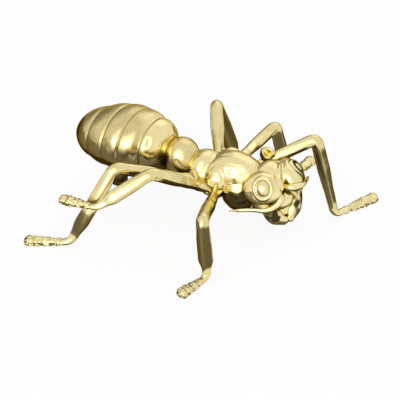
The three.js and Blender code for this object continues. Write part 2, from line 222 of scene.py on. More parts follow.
def gaster_half(distance, front_size, full_size):
    """Half the gaster's size at a distance behind its front."""
    if distance < gaster_widest_at:
        share = (gaster_widest_at - distance) / gaster_widest_at
        return (full_size - (full_size - front_size) * share ** 2) / 2
    share = (distance - gaster_widest_at) / (gaster_length - gaster_widest_at)
    return full_size / 2 * math.sqrt(max(1 - share ** gaster_tail_power, 0))


for count in range(len(gaster_bands)):
    band_start = sum(gaster_bands[:count])
    half = gaster_half(band_start, gaster_front_width, gaster_width)
    print("The gaster is", round(2 * half, 1), "mm wide", round(band_start, 1), "mm behind its front")

# %% [markdown]
# ## Bands of the gaster
#
# Each of the five bands is a little barrel, and thin engraved grooves part them. Behind the first band
# lies a wider and deeper one, the collar. Swell and grooves are added to the radius, so they follow the
# outline wherever it goes, which modelled rings laid round the egg would not.

# %% Bands of the gaster
NO_GROOVE = (0.0, 0.2)
FINE_GROOVE = (0.2, 0.2)
COLLAR_GROOVE = (0.5, 0.6)
gaster_grooves = [NO_GROOVE, COLLAR_GROOVE, FINE_GROOVE, FINE_GROOVE, FINE_GROOVE, NO_GROOVE]
BAND_SWELL = 0.055
BAND_TAPER = 0.5


def gaster_relief(share, length, groove_before, groove_behind):
    """Swell of a band at a share of its length, less the groove at each of its ends."""
    swell = BAND_SWELL * length * math.sin(math.pi * share) * (1 - BAND_TAPER * share)
    depth = 0.0
    ends = ((groove_before, share * length), (groove_behind, (1 - share) * length))
    for (deep, half_width), away in ends:
        depth += deep * math.exp(-(away / half_width) ** 2)
    return swell - depth


for band, length in enumerate(gaster_bands):
    swell = gaster_relief(0.5, length, gaster_grooves[band], gaster_grooves[band + 1])
    print("Band", band + 1, "swells by", round(swell, 3), "mm")

# %% [markdown]
# ## Rings of the gaster
#
# The rings stand in planes that lean forwards at the crown and on the ant's left, as the grooves of the
# real casting do. A point's place depends on the radius there and the radius on the place, so a few
# rounds settle both. The front is domed and sags towards the waist, and the tip of the tail stands
# upright again.

# %% Rings of the gaster
gaster_rise = 2.6
gaster_droop = math.radians(5.8)
gaster_front = petiole_centre + Vector((petiole_into_gaster - petiole_length / 2, 0, gaster_rise))
gaster_axis = Vector((-math.cos(gaster_droop), 0, -math.sin(gaster_droop)))
gaster_crown = Vector((-math.sin(gaster_droop), 0, math.cos(gaster_droop)))
gaster_beside = gaster_axis.cross(gaster_crown)
GROOVE_LEAN_UP = 0.1
GROOVE_LEAN_ASIDE = 0.2
FRONT_DOME = 2.0
FRONT_DOME_SHARE = 0.7
FRONT_SAG = 1.5
FRONT_SAG_LENGTH = 9.0
GASTER_SIDES = 128
SETTLING_ROUNDS = 5


def gaster_ring(distance, relief, lean):
    """One ring of the gaster, in a plane that leans against its axis."""
    dome = math.sqrt(1 - FRONT_DOME_SHARE * max(1 - distance / FRONT_DOME, 0) ** 2)
    points = []
    for k in range(GASTER_SIDES):
        turn = 2 * math.pi * k / GASTER_SIDES
        at = distance
        for _ in range(SETTLING_ROUNDS):
            inside = min(max(at, 0), gaster_length)
            sag = FRONT_SAG * max(1 - inside / FRONT_SAG_LENGTH, 0) ** 2
            half_tall = gaster_half(inside, gaster_front_tall, gaster_tall) * dome + sag + relief
            half_wide = gaster_half(inside, gaster_front_width, gaster_width) * dome + relief
            high = half_tall * math.cos(turn) - sag
            aside = half_wide * math.sin(turn)
            at = distance - lean * (GROOVE_LEAN_UP * high + GROOVE_LEAN_ASIDE * aside)
        points.append(gaster_front + gaster_axis * at + gaster_crown * high + gaster_beside * aside)
    return points


print("The gaster's front is at", [round(value, 2) for value in gaster_front], "mm")

# %% [markdown]
# Even steps would waste rings on the smooth barrels, so they gather at the grooves, and at the tip of
# the tail, where the outline turns fastest.

# %% Row of the gaster's rings
BAND_RINGS = 24


def gaster_rows():
    """All rings of the gaster, from its front to its tail."""
    rows = []
    start = 0.0
    last = len(gaster_bands) - 1
    for band, length in enumerate(gaster_bands):
        for step in range(BAND_RINGS):
            share = step / BAND_RINGS
            if band == last:
                share = math.sin(share * math.pi / 2)
            else:
                share = (1 - math.cos(share * math.pi)) / 2
            lean = 1 - share if band == last else 1
            relief = gaster_relief(share, length, gaster_grooves[band], gaster_grooves[band + 1])
            rows.append(gaster_ring(start + share * length, relief, lean))
        start += length
    return rows


gaster_corners, gaster_faces = skin(gaster_rows())
print("The gaster's skin has", len(gaster_faces), "faces")

# %% [markdown]
# ## Painted shade and satin of the gaster
#
# The belly and the end of the tail are painted in shade, and the crown stays bright. The front band is
# polished, and the others are left satin, rougher and painted a duller tan. A flaw of the casting, a
# small dent, lies in the collar and is darker inside. The dent moves corners, so it shows from every
# side.

# %% Painted shade and satin of the gaster
# Painted shade on the belly and at the end of the tail; the dent is darker inside.
GASTER_DARK = 0.25
BELLY_DARK = 1.9
BELLY_HEIGHT = 15.0
BELLY_FADE = 3.2
BELLY_RISE = 0.6
BELLY_RISE_LENGTH = 9.0
TAIL_DARK = 2.0
TAIL_DARK_FROM = 17.8
# Satin on the gaster: rougher, and painted a duller tan, as shade.
FRONT_SATIN_AND_SHADE = 0.15
MORE_SATIN_AND_SHADE = 0.75
SATIN_AND_SHADE_FROM = 3
SATIN_AND_SHADE_FADE = 3
DENT_AT = Vector((-16.1, -4.45, 18.5))
DENT_HALF = Vector((0.35, 0.8, 0.8))
DENT_DEPTH = 0.45
DENT_DARK = 1.5
GASTER_WAVES = 0.8


def soft(share):
    """A share from 0 to 1 that starts and ends gently."""
    share = min(max(share, 0), 1)
    return share * share * (3 - 2 * share)


def dent(place):
    """How far the dent lowers the surface at a place, as a negative height."""
    away = place - DENT_AT
    return -DENT_DEPTH * math.exp(-sum((part / half) ** 2 for part, half in zip(away, DENT_HALF)))


def gaster_shade_and_satin(corner):
    """Shares of painted shade and of satin at a corner of the gaster."""
    behind = (corner - gaster_front).dot(gaster_axis)
    belly_top = BELLY_HEIGHT + BELLY_RISE * (1 - soft(behind / BELLY_RISE_LENGTH))
    belly = BELLY_DARK * soft((belly_top - corner.z) / BELLY_FADE)
    tail = TAIL_DARK * soft((behind - TAIL_DARK_FROM) / (gaster_length - TAIL_DARK_FROM))
    dark = GASTER_DARK + belly + tail - DENT_DARK * dent(corner)
    satin = FRONT_SATIN_AND_SHADE + MORE_SATIN_AND_SHADE * soft((behind - SATIN_AND_SHADE_FROM) / SATIN_AND_SHADE_FADE)
    return dark, satin


gaster_dark, gaster_satin = zip(*[gaster_shade_and_satin(corner) for corner in gaster_corners])
add_piece("gaster", gaster_corners, gaster_faces, dark=list(gaster_dark), waves=GASTER_WAVES,
          relief=dent, satin=list(gaster_satin))

# %% [markdown]
# ## Petiole
#
# The waist is one bead between the two bodies. It runs a little way into both, where the braze fills
# the seam, so it is a full egg and not a cut one. Rings make it like the other bodies, so its lower
# half can be painted in shade.

# %% Petiole
BEAD_HALF_LENGTH = 4.0
BEAD_HALF_WIDTH = 4.1
BEAD_HALF_HEIGHT = 4.5
BEAD_DROP = 0.1
BEAD_RINGS = 48
BEAD_SIDES = 72
# Painted shade on the lower half of the bead.
BEAD_DARK = 0.7
BEAD_DARK_ABOVE = 0.25
# Satin on the bead: rougher, and painted a duller tan, as shade.
BEAD_SATIN_AND_SHADE = 0.5


def make_petiole():
    middle = petiole_centre - UP * BEAD_DROP
    rows = []
    for k in range(1, BEAD_RINGS):
        turn = math.pi * k / BEAD_RINGS
        at = middle - FORWARD * (BEAD_HALF_LENGTH * math.cos(turn))
        tall = BEAD_HALF_HEIGHT * math.sin(turn)
        wide = BEAD_HALF_WIDTH * math.sin(turn)
        rows.append(ring(at, UP, FORWARD.cross(UP), tall, wide, BEAD_SIDES))
    corners, faces = skin(rows)
    dark = []
    for corner in corners:
        below = (middle.z - corner.z) / BEAD_HALF_HEIGHT
        dark.append(BEAD_DARK * soft(below + BEAD_DARK_ABOVE))
    return add_piece("petiole", corners, faces, dark=dark, satin=BEAD_SATIN_AND_SHADE)


make_petiole()

# %% [markdown]
# ## One swelling
#
# The thorax and the head are swellings that run into one another, as if pushed together in wax. Each
# swelling is a ball, pulled longer or flatter, that can be aimed, as a brow is aimed where its eye
# looks.

# %% One swelling
BALL_SIDES = 48
BALL_RINGS = 32
UNTURNED = Matrix()


def ball_skin(centre, half, aim=None, turned=UNTURNED):
    """Corners and faces of one swelling. Its half sizes lie beside, above and along an aim."""
    rows = []
    for k in range(1, BALL_RINGS):
        turn = math.pi * k / BALL_RINGS
        at = Vector((0, 0, -math.cos(turn)))
        rows.append(ring(at, FORWARD, LEFT, math.sin(turn), math.sin(turn), BALL_SIDES))
    corners, faces = skin(rows)
    to_aim = aim.to_track_quat("Z", "Y").to_matrix() if aim else Matrix.Identity(3)
    shaped = []
    for corner in corners:
        sized = Vector(part * size for part, size in zip(corner, half))
        shaped.append(turned @ (Vector(centre) + to_aim @ sized))
    return shaped, faces


def join(corners, faces, more, more_faces):
    """Puts a second skin beside the corners and faces of a first one."""
    faces += [tuple(index + len(corners) for index in face) for face in more_faces]
    corners += more


print("A swelling has", len(ball_skin(Vector(), (1, 1, 1))[0]), "corners")

# %% [markdown]
# ## One body from swellings
#
# Joining the balls with booleans would leave sharp creases. A voxel remesh gives one even net over all
# of them instead, and a few rounds of smoothing turn each crease into the soft hollow that a wax tool
# leaves.

# %% One body from swellings
VOXEL = 0.14
WAX_TOOL_SHARE = 0.5


def swollen_body(name, swellings, turned, smoothing):
    """Corners and faces of the smooth skin round all the swellings."""
    corners = []
    faces = []
    for centre, half, *aim in swellings:
        join(corners, faces, *ball_skin(centre, half, aim[0] if aim else None, turned))
    mesh = bpy.data.meshes.new(name + "_balls")
    mesh.from_pydata(corners, [], faces)
    carrier = bpy.data.objects.new(name + "_balls", mesh)
    bpy.context.scene.collection.objects.link(carrier)
    remesh = carrier.modifiers.new("even net", "REMESH")
    remesh.mode = "VOXEL"
    remesh.voxel_size = VOXEL
    soften = carrier.modifiers.new("wax tool", "SMOOTH")
    soften.factor = WAX_TOOL_SHARE
    soften.iterations = smoothing
    whole = carrier.evaluated_get(bpy.context.evaluated_depsgraph_get()).to_mesh()
    result = [v.co.copy() for v in whole.vertices], [tuple(face.vertices) for face in whole.polygons]
    bpy.data.objects.remove(carrier)
    return result


print("The net over the swellings has voxels of", VOXEL, "mm")

# %% [markdown]
# ## Routes of the legs
#
# Each leg is one casting: thigh, knee, shin, ankle and foot. Its route is four points, worked out from
# how far each length reaches (mm), its heading (degrees) and, for the thigh, the height of the knee.
# The lift is the height of the sole: one foot hangs in the air. The shin shade gives between which
# shares of the shin it is painted in shade, and under says how far the painted shade of a thigh's
# underside climbs, where it isn't the usual.

# %% Routes of the legs
leg_routes = {
    "right_front_leg": dict(
        hip=(-1.6, -1.9, 9.5), femur=(17.4, -78, 13.6), tibia=(2.6, -43), foot=(8.1, -112),
        lift=0, tarnish=(-0.25, 0.85)),
    "right_middle_leg": dict(
        hip=(-2.4, -2.8, 9.3), femur=(14.3, -130, 18.1), tibia=(11.5, -144), foot=(8.6, 179),
        lift=10.3, tarnish=(1, 1)),
    "right_rear_leg": dict(
        hip=(-5.2, -1.6, 10), femur=(19.1, -139, 17.5), tibia=(10.3, -136), foot=(9.8, -162),
        lift=0, tarnish=(0.45, 0.9), under=0.75),
    "left_front_leg": dict(
        hip=(0.5, 2.6, 10), femur=(17.3, 33, 17.5), tibia=(6.4, -24), foot=(11.8, 59),
        lift=0, tarnish=(-0.15, 0.9)),
    "left_middle_leg": dict(
        hip=(-1.7, 2.4, 10.3), femur=(13.3, 59, 17), tibia=(4.2, 63), foot=(10, 77),
        lift=0, tarnish=(-0.2, 0.9)),
    "left_rear_leg": dict(
        hip=(-2.8, 2.1, 10.7), femur=(14, 116, 18.5), tibia=(6.2, 64), foot=(7.3, 130),
        lift=0, tarnish=(-0.2, 0.9)),
}
ANKLE_HEIGHT = 0.95
SOLE_HEIGHT = 0.7


def step_to(start, reach, heading, height):
    """The point at a height that lies a reach away from a start, in a heading."""
    turn = math.radians(heading)
    return Vector((start.x + reach * math.cos(turn), start.y + reach * math.sin(turn), height))


def leg_points(route):
    """Hip, knee, ankle and toe of a leg."""
    hip = Vector(route["hip"])
    knee = step_to(hip, *route["femur"])
    ankle = step_to(knee, *route["tibia"], route["lift"] + ANKLE_HEIGHT)
    toe = step_to(ankle, *route["foot"], route["lift"] + SOLE_HEIGHT)
    return hip, knee, ankle, toe


for leg_name, leg_route in leg_routes.items():
    print(leg_name, "has its knee at", [round(value, 1) for value in leg_points(leg_route)[1]], "mm")

# %% [markdown]
# ## Widths along a leg
#
# A thigh opens like a trumpet at its root, is slim beyond that and thicker before the knee, and a shin
# is thickest in its middle. Each length has a few named widths, at shares of its length, and a soft
# curve between them. One leg of the casting has a slimmer shin than the others.

# %% Widths along a leg
FEMUR_WIDTHS = ((0, 4.6), (0.1, 3.6), (0.3, 2.15), (0.5, 2.5), (0.7, 2.95), (1, 2.75))
TIBIA_WIDTHS = ((0, 2.75), (0.35, 3.2), (0.75, 3.2), (1, 2.0))
SLIM_TIBIA_WIDTHS = ((0, 2.75), (0.35, 2.8), (0.75, 2.2), (1, 1.9))
SLIM_LEG = "left_front_leg"


def width_at(widths, share):
    """The width at a share of the length, on a soft curve through the named widths."""
    for (before, low), (after, high) in zip(widths, widths[1:]):
        if share <= after:
            return low + (high - low) * soft((share - before) / (after - before))
    return widths[-1][1]


def square(widths):
    """Width and height at a share of the length, for a length that is as wide as it is tall."""
    return lambda share: (width_at(widths, share),) * 2


print("Half way along, a thigh is", width_at(FEMUR_WIDTHS, 0.5), "mm thick")

# %% [markdown]
# ## Beads of a foot
#
# The foot is like a string of beads, with a wide last one. Balls on a rod would do, but their necks
# would be too thin to cast, so the beads are a formula: a row of half circles over a thick neck.

# %% Beads of a foot
FOOT_BEADS = 4
HEEL_WIDTH = 1.75
TOE_WIDTH = 2.65
TOE_TALL = 2.1
NECK_SHARE = 0.86
TIP_SHARE = 0.12
FULL_WIDTH_AT = 0.8
NEARLY = 1e-6


def bead_at(share):
    """Width and height of a foot at a share of its length."""
    place = min(share * FOOT_BEADS, FOOT_BEADS - NEARLY)
    bead = int(place)
    across = 2 * (place - bead) - 1
    round_here = math.sqrt(max(1 - across * across, 0))
    if bead == FOOT_BEADS - 1 and across > 0:
        fullness = max(round_here, TIP_SHARE)
    else:
        fullness = NECK_SHARE + (1 - NECK_SHARE) * round_here
    wide = HEEL_WIDTH + (TOE_WIDTH - HEEL_WIDTH) * soft(share / FULL_WIDTH_AT)
    return wide * fullness, wide * fullness * TOE_TALL / TOE_WIDTH


for bead in range(FOOT_BEADS):
    print("Bead", bead + 1, "is", round(bead_at((bead + 0.5) / FOOT_BEADS)[0], 2), "mm wide")

# %% [markdown]
# ## Lengths and bends
#
# A station is what one ring of a leg needs to know: its place, its direction, the side where its ridge
# lies, its width and height, the power that sharpens its ridges, and its share of painted shade.
# Straight lengths have stations at even steps. Round a bend, every one of these values glides from one
# length to the next.

# %% Lengths and bends
Station = namedtuple("Station", "at along crown wide tall power dark")
FIRST_SIZE = Station._fields.index("wide")


def length_of_leg(start, end, skip_start, skip_end, steps, crown, size_at, power_at, dark_at):
    """Stations from a start to an end, without the stretches that the bends take up."""
    along = (end - start).normalized()
    first = start + along * skip_start
    last = end - along * skip_end
    stations = []
    for k in range(steps + 1):
        share = k / steps
        at = first.lerp(last, share)
        stations.append(Station(at, along, crown, *size_at(share), power_at(share), dark_at(share)))
    return stations


def bend(before, corner, after, steps):
    """Stations on the curve from one station round a corner to another."""
    stations = []
    for k in range(1, steps):
        share = k / steps
        at = before.at.lerp(corner, share).lerp(corner.lerp(after.at, share), share)
        along = before.along.lerp(after.along, share).normalized()
        crown = before.crown.lerp(after.crown, share).normalized()
        pairs = zip(before[FIRST_SIZE:], after[FIRST_SIZE:])
        stations.append(Station(at, along, crown, *[low + (high - low) * share for low, high in pairs]))
    return stations


print("A station holds", Station._fields)

# %% [markdown]
# ## Ridges and painted shade along a leg
#
# The four ridges are soft at the root and at the bends, where the wax was bent. The thigh is painted
# bright, and the shin is painted in shade between two places. Each is a formula on the share of the
# length, so a longer leg needs no new numbers.

# %% Ridges and painted shade along a leg
ROUND_POWER = 2
RIDGE_POWER = 1.62
KNEE_POWER = 1.9
FOOT_POWER = 2.2
RIDGE_FADE = 0.3
# Painted light and shade: thighs are painted bright, and shins are painted in shade.
PAINTED_SHINE = -0.8
SHIN_PAINTED_SHADE = 1.2
SHIN_FADE_IN = 0.25
SHIN_FADE_OUT = 0.15


def to_knee(share):
    """Power of the ridges along a length that ends in the knee."""
    return RIDGE_POWER + (KNEE_POWER - RIDGE_POWER) * soft((share - (1 - RIDGE_FADE)) / RIDGE_FADE)


def from_hip(share):
    """Power of the ridges along a thigh, round at its root."""
    return to_knee(share) + (ROUND_POWER - RIDGE_POWER) * (1 - soft(share / RIDGE_FADE))


def shin_dark(share, first, last):
    """Painted shade along a shin, which starts and ends softly at two shares of its length."""
    begun = soft((share - first) / SHIN_FADE_IN)
    ended = soft((share - last) / SHIN_FADE_OUT)
    return PAINTED_SHINE + (SHIN_PAINTED_SHADE - PAINTED_SHINE) * begun * (1 - ended)


for leg_name, leg_route in leg_routes.items():
    print(leg_name, "has a tarnish of", round(shin_dark(0.5, *leg_route["tarnish"]), 2), "at mid shin")

# %% [markdown]
# ## Stations of a leg
#
# The stations of three lengths and two bends make a whole leg. The ridge on top of the thigh runs on as
# the outer ridge of the shin and the top of the foot. Rings lie closest together where a leg has most
# detail.

# %% Stations of a leg
THIGH_RINGS = 64
SHIN_RINGS = 32
FOOT_RINGS = 56
BEND_RINGS = 8
KNEE_ROUNDING = 1.5
ANKLE_ROUNDING = 1.6


def leg_stations(name, route):
    hip, knee, ankle, toe = leg_points(route)
    outward = ((toe - hip) * Vector((1, 1, 0))).normalized()
    shin_widths = SLIM_TIBIA_WIDTHS if name == SLIM_LEG else TIBIA_WIDTHS
    thigh = length_of_leg(hip, knee, 0, KNEE_ROUNDING, THIGH_RINGS, UP,
                          square(FEMUR_WIDTHS), from_hip, lambda share: PAINTED_SHINE)
    shin = length_of_leg(knee, ankle, KNEE_ROUNDING, ANKLE_ROUNDING, SHIN_RINGS, outward,
                         square(shin_widths), lambda share: to_knee(1 - share),
                         lambda share: shin_dark(share, *route["tarnish"]))
    foot = length_of_leg(ankle, toe, ANKLE_ROUNDING, 0, FOOT_RINGS, UP,
                         bead_at, lambda share: FOOT_POWER, lambda share: 0.0)
    return (thigh + bend(thigh[-1], knee, shin[0], BEND_RINGS) + shin
            + bend(shin[-1], ankle, foot[0], BEND_RINGS) + foot)


for leg_name, leg_route in leg_routes.items():
    print(leg_name, "has", len(leg_stations(leg_name, leg_route)), "stations")

# %% [markdown]
# ## Surface of a leg
#
# Between its ridges a leg is slightly hollow. The feet are chased: a punch leaves small pebbles,
# lighter on top and darker between. Thighs are painted in shade on their undersides, nearly up to the
# knee, and the ridges of the shins carry a painted highlight. A bump map could fake the pebbles, but at
# the outline they would be missing.

# %% Surface of a leg
LEG_SIDES = 40
FLUTE_DEPTH = 0.12
PEBBLE = 1.0
PEBBLE_DEPTH = 0.5
PEBBLE_TOP = 0.45
PEBBLE_FOOT = 0.3
PEBBLE_SHINE = -0.5
PEBBLE_PIT_DARK = 5.6
# Painted shade under the thighs, and a painted highlight on the ridges of the shins.
UNDER_SHADE = 1.6
UNDER_FADE = 0.6
KNEE_UNSHADED = 0.1
RIDGE_HIGHLIGHT = 0.5
RIDGE_SHARPNESS = 12


def fluted(points, at, power):
    """A ring's points, hollow between its four ridges."""
    depth = FLUTE_DEPTH * (FOOT_POWER - power)
    hollows = [depth * math.sin(4 * math.pi * n / LEG_SIDES) ** 2 for n in range(LEG_SIDES)]
    return [point + (at - point).normalized() * hollow for point, hollow in zip(points, hollows)]


def chased(points, at):
    """A ring's points raised to pebbles, and their dark shares, higher between the pebbles."""
    moved = []
    dark = []
    for point in points:
        nearest, next_nearest = noise.voronoi(point / PEBBLE)[0][:2]
        rise = min(next_nearest - nearest, PEBBLE_TOP) - PEBBLE_FOOT
        moved.append(point + (point - at).normalized() * (PEBBLE_DEPTH * rise))
        dark.append(PEBBLE_SHINE - PEBBLE_PIT_DARK * rise)
    return moved, dark


def leg_painted_shade(share, n, k, under):
    """Painted shade of point n in ring k, where the ring's share is given."""
    turn = 2 * math.pi * n / LEG_SIDES
    if k < THIGH_RINGS:
        kept = soft((under - math.cos(turn)) / UNDER_FADE) * soft((1 - k / THIGH_RINGS) / KNEE_UNSHADED)
        return share + (UNDER_SHADE - share) * kept
    return share - RIDGE_HIGHLIGHT * max(share, 0) * abs(math.cos(2 * turn)) ** RIDGE_SHARPNESS


ridge_dark = leg_painted_shade(SHIN_PAINTED_SHADE, 0, THIGH_RINGS, 0)
print("A ridge of a shin keeps", round(ridge_dark, 2), "of", SHIN_PAINTED_SHADE, "tarnish")

# %% [markdown]
# ## Knob on a thigh
#
# On the left front thigh sits a rough knob with a dimple in it. It is lathe work like an eye, a ball
# whose top is pushed in, and a noise makes it rough. It sinks into the thigh, so no seam has to be cut.

# %% Knob on a thigh
KNOB_LEG = "left_front_leg"
KNOB_ALONG = 0.4
KNOB_LIFT = 1.7
KNOB_RADIUS = 1.55
KNOB_AIM = Vector((0.2, -0.55, 0.81)).normalized()
KNOB_WAVE = 1.4
KNOB_WAVE_DEPTH = 0.5
KNOB_DARK = 0.0
KNOB_STEPS = 24
RIM_STEP = 19
DIMPLE_DEPTH = 0.6
DIMPLE_STEPS = 6


def knob_profile():
    """Radius and height of the knob's rings, up the ball to its rim and down into the dimple."""
    turns = [math.pi * k / KNOB_STEPS for k in range(1, RIM_STEP + 1)]
    profile = [(math.sin(turn), -math.cos(turn)) for turn in turns]
    rim, top = profile[-1]
    for k in range(1, DIMPLE_STEPS):
        sunk = DIMPLE_DEPTH * math.sin(math.pi / 2 * k / DIMPLE_STEPS)
        profile.append((rim * (1 - k / DIMPLE_STEPS), top - sunk))
    return profile


def knob_skin(route):
    hip, knee = leg_points(route)[:2]
    centre = hip.lerp(knee, KNOB_ALONG) + UP * KNOB_LIFT
    across = KNOB_AIM.cross(UP).normalized()
    rows = []
    for radius, rise in knob_profile():
        at = centre + KNOB_AIM * (KNOB_RADIUS * rise)
        half = KNOB_RADIUS * radius
        rows.append(ring(at, across, KNOB_AIM.cross(across), half, half, LEG_SIDES))
    corners, faces = skin(rows)
    rough = []
    for corner in corners:
        swell = KNOB_WAVE_DEPTH * noise.noise(corner / KNOB_WAVE)
        rough.append(corner + (corner - centre).normalized() * swell)
    return rough, faces


print("The knob has", len(knob_profile()), "rings")

# %% [markdown]
# ## Web in a knee
#
# Inside the right rear knee lies a rounded web of metal, as if two lengths of wax had been pressed
# together, and it is painted dark, as shade. One flattened swelling, sunk into both lengths, is enough
# for it.

# %% Web in a knee
WEB_LEG = "right_rear_leg"
WEB_FROM_KNEE = Vector((0.5, 0.3, -2.3))
WEB_HALF = (2.3, 1.4, 2.1)
# The web is painted dark, as shade.
WEB_DARK = 1.5


def web_skin(route):
    return ball_skin(leg_points(route)[1] + WEB_FROM_KNEE, WEB_HALF)


leg_extras = {KNOB_LEG: (knob_skin, KNOB_DARK), WEB_LEG: (web_skin, WEB_DARK)}
print("More than a plain leg:", list(leg_extras))

# %% [markdown]
# ## Six legs
#
# One function makes all six legs, because only their routes differ. Every point that would lie below
# the sole is lifted to it, which leaves the foot flat underneath, as a file would.

# %% Six legs
LEG_WAVES = 0.6
# Satin on the legs: rougher, and painted a duller tan, as shade.
LEG_SATIN_AND_SHADE = 0.42
THIGH_UNDER = 0.5


def make_leg(name, route):
    stations = leg_stations(name, route)
    rows = []
    dark = []
    for k, (at, along, crown, wide, tall, power, share) in enumerate(stations):
        across = (crown - along * crown.dot(along)).normalized()
        points = ring(at, across, along.cross(across), tall / 2, wide / 2, LEG_SIDES, power)
        points = fluted(points, at, power)
        if k >= len(stations) - FOOT_RINGS:
            points, row_dark = chased(points, at)
        else:
            under = route.get("under", THIGH_UNDER)
            row_dark = [leg_painted_shade(share, n, k, under) for n in range(LEG_SIDES)]
        for point in points:
            point.z = max(point.z, route["lift"])
        rows.append(points)
        dark += row_dark
    corners, faces = skin(rows)
    dark += [dark[0], dark[-1]]
    if name in leg_extras:
        extra_skin, extra_dark = leg_extras[name]
        join(corners, faces, *extra_skin(route))
        dark += [extra_dark] * (len(corners) - len(dark))
    return add_piece(name, corners, faces, dark=dark, waves=LEG_WAVES, satin=LEG_SATIN_AND_SHADE)


for leg_name, leg_route in leg_routes.items():
    make_leg(leg_name, leg_route)

# %% [markdown]
# ## Swellings of the thorax
#
# The middle body is made of eight swellings. Each leg gets one more round its root, so that it comes
# out of a soft hip and not straight through a wall.

# %% Swellings of the thorax
SHIELD = ((1.6, 0.2, 12.9), (6.3, 4.2, 4.5))
REAR = (thorax_rear_centre, thorax_rear_half)
STERNUM = ((-3, 0.5, 10.9), (5.5, 3.8, 2.8))
CHEST = ((3.2, -1.2, 9.5), (4.0, 4.0, 4.4))
RIGHT_FLANK = ((-1.4, -2.5, 12.2), (2.7, 2.6, 3.0))
RIGHT_UNDER_FLANK = ((-1.9, -2.9, 10.7), (2.3, 2.0, 2.4))
LEFT_FLANK = ((-0.5, 2.6, 13.0), (3.4, 2.7, 3.8))
SADDLE = ((-3.0, 0, 12.2), (3.0, 4.2, 3.7))
thorax_swellings = [SHIELD, REAR, STERNUM, CHEST, RIGHT_FLANK, RIGHT_UNDER_FLANK, LEFT_FLANK, SADDLE]
HIP_OUT = 0.6
HIP_RISE = 0.4
HIP_RADIUS = 1.9
THORAX_SMOOTHING = 10

for leg_route in leg_routes.values():
    leg_hip, leg_knee = leg_points(leg_route)[:2]
    outwards = (leg_knee - leg_hip).normalized()
    thorax_swellings.append((leg_hip + outwards * HIP_OUT + UP * HIP_RISE, (HIP_RADIUS,) * 3))
thorax_corners, thorax_faces = swollen_body("thorax", thorax_swellings, UNTURNED, THORAX_SMOOTHING)
print(len(thorax_swellings), "swellings make a thorax of", len(thorax_faces), "faces")

# %% [markdown]
# ## Surface of the thorax
#
# A leaning crease parts the shield from the rear and fades down the sides. It is sharp in front and
# runs out softly behind. File marks run along the body, and a small curved nick shows where something
# struck it. The chest below the head is painted in deep shade below an uneven edge, and the rest of the
# thorax is painted bright.

# %% Surface of the thorax
CREASE_AT = -2.8
CREASE_LEAN = 0.3
CREASE_DEPTH = 0.4
CREASE_HALF_WIDTH = 0.45
CREASE_REAR_HALF_WIDTH = 2.5 * CREASE_HALF_WIDTH
CREASE_FROM_HEIGHT = 12.5
CREASE_FADE = 2
STREAK_DEPTH = 0.09
STREAK_WIDTH = 0.75
STREAK_LENGTH = 5.0
NICK_AT = Vector((1.44, -3.35, 15.15))
NICK_RADIUS = 0.42
NICK_HALF_WIDTH = 0.17
NICK_DEPTH = 0.22
# Painted light above, and deep painted shade on the chest below.
THORAX_PAINTED_SHINE = -0.6
CHEST_DARK = 2.2
CHEST_DARK_FROM = 10.4
CHEST_DARK_SLOPE = 0.5
CHEST_FADE = 1.6
CHEST_EDGE = 1.5
CHEST_EDGE_DEPTH = 0.9


def thorax_relief(place):
    """Height of the file marks, less the nick and the crease."""
    ahead = place.x - CREASE_LEAN * place.y - CREASE_AT
    side = CREASE_HALF_WIDTH if ahead > 0 else CREASE_REAR_HALF_WIDTH
    depth = CREASE_DEPTH * soft((place.z - CREASE_FROM_HEIGHT) / CREASE_FADE)
    drawn_out = Vector((place.x / STREAK_LENGTH, place.y, place.z))
    streak = STREAK_DEPTH * noise.noise(drawn_out / STREAK_WIDTH)
    from_nick = place - NICK_AT
    nick = NICK_DEPTH * math.exp(-((from_nick.length - NICK_RADIUS) / NICK_HALF_WIDTH) ** 2)
    nick *= 1 - soft(from_nick.x / NICK_RADIUS)
    return streak - nick - depth * math.exp(-(ahead / side) ** 2)


def chest_dark(corner):
    """Painted shade of the thorax: deep painted shade under a sloping, uneven line and painted light
    above it.
    """
    below = CHEST_DARK_FROM - corner.z + CHEST_DARK_SLOPE * corner.x
    below += CHEST_EDGE_DEPTH * noise.noise(corner / CHEST_EDGE)
    return CHEST_DARK * soft(below / CHEST_FADE) + THORAX_PAINTED_SHINE


thorax_dark = [chest_dark(corner) for corner in thorax_corners]
add_piece("thorax", thorax_corners, thorax_faces, dark=thorax_dark, relief=thorax_relief)

# %% [markdown]
# ## Swellings of the head
#
# The head looks to the ant's right. Its swellings are given in a frame of its own, x to the face, y to
# its left and z up, and that frame is turned as a whole, which is easier than turning each form. Two
# oval brows carry the eyes, each flattened along the way its eye looks.

# %% Swellings of the head
head_centre = Vector((9.6, 1.1, 12.0))
head_turn = math.radians(-33)
head_tilt = math.radians(4)
head_frame = (Matrix.Translation(head_centre) @ Matrix.Rotation(head_turn, 4, "Z")
              @ Matrix.Rotation(head_tilt, 4, "X"))
brow_radius = 4.0
right_brow = Vector((0.3, -2.75, -0.1))
left_brow = Vector((0.3, 2.75, -0.2))
right_eye_aim = Vector((0.66, -0.47, 0.59)).normalized()
left_eye_aim = Vector((0.36, 0.75, 0.55)).normalized()
BROW_HALF = (4.3, 3.5, 2.4)
SKULL = ((-1, 0, 0.1), (3.8, 4.6, 4.1))
FOREHEAD = ((0, 0.4, 1.2), (3.1, 3.4, 3.0))
MUZZLE = ((1.9, 0, -3.6), (2.4, 4.0, 3.7))
CHIN = ((2.6, 0, -5.4), (1.9, 2.6, 2.5))
RIGHT_CHEEK = ((1.2, -3.9, -2.2), (2.6, 2.4, 2.4))
LEFT_CHEEK = ((1.2, 3.9, -2.2), (2.6, 2.4, 2.4))
LIP = ((3.8, -0.3, -2.3), (1.6, 2.4, 1.9))
HEAD_SMOOTHING = 4

